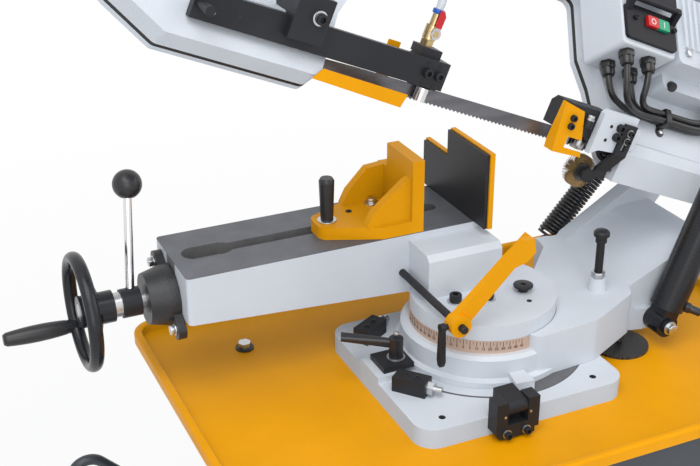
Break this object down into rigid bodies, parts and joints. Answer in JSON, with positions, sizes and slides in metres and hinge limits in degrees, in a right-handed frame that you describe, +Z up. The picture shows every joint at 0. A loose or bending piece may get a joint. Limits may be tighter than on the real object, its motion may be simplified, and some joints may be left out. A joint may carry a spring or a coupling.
{
  "type": "metal cutting band saw",
  "caption": "Swivel-head metal cutting band saw on a cabinet stand, with a hinged canted bow, sliding-jaw vise, turntable with angle scale, feed cylinder and drip tray.",
  "frame": {"origin": "on the floor at the centre of the stand's anchor holes, straight under the turntable's axis", "axes": "+X to the right along the vise, +Y away from the operator, +Z up"},
  "size_m": [1.1377, 0.578, 1.4732],
  "materials": {
    "stand_grey": "satin powder coat",
    "yellow_paint": "satin powder coat",
    "white_paint": "textured powder coat",
    "black_paint": "satin",
    "black_steel": "blackened",
    "steel": "ground",
    "zinc": "zinc plated",
    "blade_steel": "ground",
    "chrome": "polished",
    "scale_copper": "etched band",
    "black_plastic": "matt",
    "gloss_black": "gloss",
    "rubber": "matt",
    "brass": "nickel plated",
    "clear_hose": "clear",
    "red_plastic": "gloss",
    "green_plastic": "gloss",
    "red_paint": "gloss",
    "brush_wire": "wire"
  },
  "bodies": {
    "stand": {"stand_cabinet": "stand_grey", "stand_handle": "black_paint", "drip_tray": "yellow_paint", "strainer": "black_steel", "base_plate": "white_paint", "angle_stops": "black_steel", "hex_bolts": "zinc", "lock_plate": "black_steel", "flip_stop_block": "black_steel", "vise_body": "white_paint", "screw_bracket": "black_paint"},
    "lock_lever": {"lock_lever": "black_plastic"},
    "flip_stop": {"flip_stop_tumbler": "black_steel"},
    "handwheel": {"handwheel": "black_paint", "vise_screw": "steel"},
    "wheel_grip": {"wheel_grip": "black_plastic"},
    "clamp_lever": {"clamp_lever": "chrome", "clamp_ball": "gloss_black"},
    "vise_jaw": {"moving_jaw": "yellow_paint", "jaw_grip": "black_plastic"},
    "fixed_jaw": {"fixed_jaw": "yellow_paint", "fixed_jaw_plate": "black_steel"},
    "stop_rod": {"stop_rod": "black_steel"},
    "stop_arm": {"stop_arm": "yellow_paint"},
    "stop_key": {"stop_clamp_key": "black_steel"},
    "swivel": {"swivel_arm": "white_paint", "scale_ring": "scale_copper", "cylinder_pin": "black_steel", "lift_spring": "black_steel"},
    "index_pin": {"index_pin": "black_steel"},
    "cylinder": {"cylinder_tube": "black_paint"},
    "piston": {"cylinder_rod": "chrome"},
    "bow": {"bow_frame": "white_paint", "cover_seal": "rubber", "wheel_cover": "white_paint", "pivot_shaft": "steel", "blade": "blade_steel", "guide_clamp": "black_steel", "right_guide_block": "black_steel", "right_blade_guard": "yellow_paint", "brush_bracket": "steel", "control_box": "white_paint", "switch_plate": "black_plastic", "cables": "rubber", "gearbox": "white_paint", "motor": "white_paint", "cylinder_bracket": "black_steel"},
    "idler_wheel": {"idler_wheel": "steel"},
    "drive_wheel": {"drive_wheel": "steel"},
    "guide": {"guide_bar": "black_steel", "left_guide_head": "black_steel", "left_blade_guard": "yellow_paint", "coolant_valve": "brass", "coolant_hose": "clear_hose"},
    "valve_lever": {"valve_lever": "red_paint"},
    "brush": {"brush_wheel": "brush_wire"},
    "button_on": {"button_on": "green_plastic"},
    "button_off": {"button_off": "red_plastic"},
    "switch_lid": {"switch_lid": "gloss_black"},
    "tension_knob": {"tension_knob": "black_plastic"}
  },
  "joints": [
    {"name": "swivel", "type": "hinge", "parent": "stand", "child": "swivel", "pos_m": [0, 0, 0.718], "axis": [0, 0, -1], "range_deg": [-45, 60]},
    {"name": "bow_lift", "type": "hinge", "parent": "swivel", "child": "bow", "pos_m": [0.43, 0.112, 0.9135], "axis": [0, 1, 0], "range_deg": [-22.8, 25], "deforming": ["lift_spring"]},
    {"name": "cylinder_tilt", "type": "hinge", "parent": "swivel", "child": "cylinder", "pos_m": [0.262, -0.07, 0.726], "axis": [0, 1, 0], "range_deg": [-12, 12]},
    {"name": "piston_slide", "type": "slide", "parent": "cylinder", "child": "piston", "axis": [0.3647, 0, 0.9311], "range_m": [-0.06, 0.06]},
    {"name": "guide_slide", "type": "slide", "parent": "bow", "child": "guide", "axis": [0.9219, 0, -0.3875], "range_m": [-0.06, 0.1]},
    {"name": "drive_spin", "type": "hinge", "parent": "bow", "child": "drive_wheel", "pos_m": [0.34744, 0.09635, 1.01953], "axis": [0.2491, -0.766, 0.5926], "continuous": true},
    {"name": "idler_spin", "type": "hinge", "parent": "bow", "child": "idler_wheel", "pos_m": [-0.37834, 0.09635, 1.32462], "axis": [0.2491, -0.766, 0.5926], "continuous": true},
    {"name": "brush_spin", "type": "hinge", "parent": "bow", "child": "brush", "pos_m": [0.15674, 0.015, 0.95244], "axis": [0, 1, 0], "continuous": true},
    {"name": "tension_turn", "type": "hinge", "parent": "bow", "child": "tension_knob", "pos_m": [-0.50464, 0.09635, 1.37772], "axis": [-0.9219, 0, 0.3875], "continuous": true},
    {"name": "button_on_press", "type": "slide", "parent": "bow", "child": "button_on", "axis": [-0.2491, 0.766, -0.5926], "range_m": [0, 0.003], "stiffness_N_per_m": 500},
    {"name": "button_off_press", "type": "slide", "parent": "bow", "child": "button_off", "axis": [-0.2491, 0.766, -0.5926], "range_m": [0, 0.003], "stiffness_N_per_m": 500},
    {"name": "switch_lid", "type": "hinge", "parent": "bow", "child": "switch_lid", "pos_m": [0.27596, 0.04027, 1.17284], "axis": [0.9219, 0, -0.3875], "range_deg": [0, 175]},
    {"name": "valve_turn", "type": "hinge", "parent": "guide", "child": "valve_lever", "pos_m": [-0.08458, 0.0045, 1.1835], "axis": [0, 1, 0], "range_deg": [0, 90]},
    {"name": "index_pull", "type": "slide", "parent": "swivel", "child": "index_pin", "axis": [0, 0, 1], "range_m": [0, 0.012], "stiffness_N_per_m": 400, "springref_m": -0.006},
    {"name": "lock_turn", "type": "hinge", "parent": "stand", "child": "lock_lever", "pos_m": [-0.141, -0.01, 0.735], "axis": [0, 0, 1], "range_deg": [-60, 60]},
    {"name": "flip_stop", "type": "hinge", "parent": "stand", "child": "flip_stop", "pos_m": [-0.055, -0.182, 0.735], "axis": [1, 0, 0], "range_deg": [0, 90]},
    {"name": "handwheel_turn", "type": "hinge", "parent": "stand", "child": "handwheel", "pos_m": [-0.535, 0.1374, 0.8238], "axis": [1, 0, 0], "range_deg": [-5616, 13680]},
    {"name": "grip_spin", "type": "hinge", "parent": "handwheel", "child": "wheel_grip", "pos_m": [-0.59, 0.19291, 0.77486], "axis": [1, 0, 0], "continuous": true},
    {"name": "clamp_turn", "type": "hinge", "parent": "stand", "child": "clamp_lever", "pos_m": [-0.47, 0.1374, 0.8238], "axis": [1, 0, 0], "range_deg": [-40, 25]},
    {"name": "vise_jaw_slide", "type": "slide", "parent": "stand", "child": "vise_jaw", "axis": [-1, 0, 0], "range_m": [-0.078, 0.19]},
    {"name": "fixed_jaw_slide", "type": "slide", "parent": "stand", "child": "fixed_jaw", "axis": [0, -1, 0], "range_m": [-0.045, 0]},
    {"name": "stop_rod_slide", "type": "slide", "parent": "stand", "child": "stop_rod", "axis": [0, -1, 0], "range_m": [-0.012, 0.025]},
    {"name": "stop_arm_swing", "type": "hinge", "parent": "stop_rod", "child": "stop_arm", "pos_m": [-0.094, -0.096, 0.82], "axis": [0, 1, 0], "range_deg": [-28, 10]},
    {"name": "stop_key_turn", "type": "hinge", "parent": "stop_arm", "child": "stop_key", "pos_m": [-0.121, -0.096, 0.82], "axis": [1, 0, 0], "range_deg": [-60, 60]}
  ],
  "couplings": [
    {"joint": "cylinder_tilt", "follows": "bow_lift", "ratio": 0.30057},
    {"joint": "piston_slide", "follows": "bow_lift", "m_per_rad": 0.08542},
    {"joint": "idler_spin", "follows": "drive_spin", "ratio": 1},
    {"joint": "vise_jaw_slide", "follows": "handwheel_turn", "m_per_rad": 0.00079577}
  ]
}
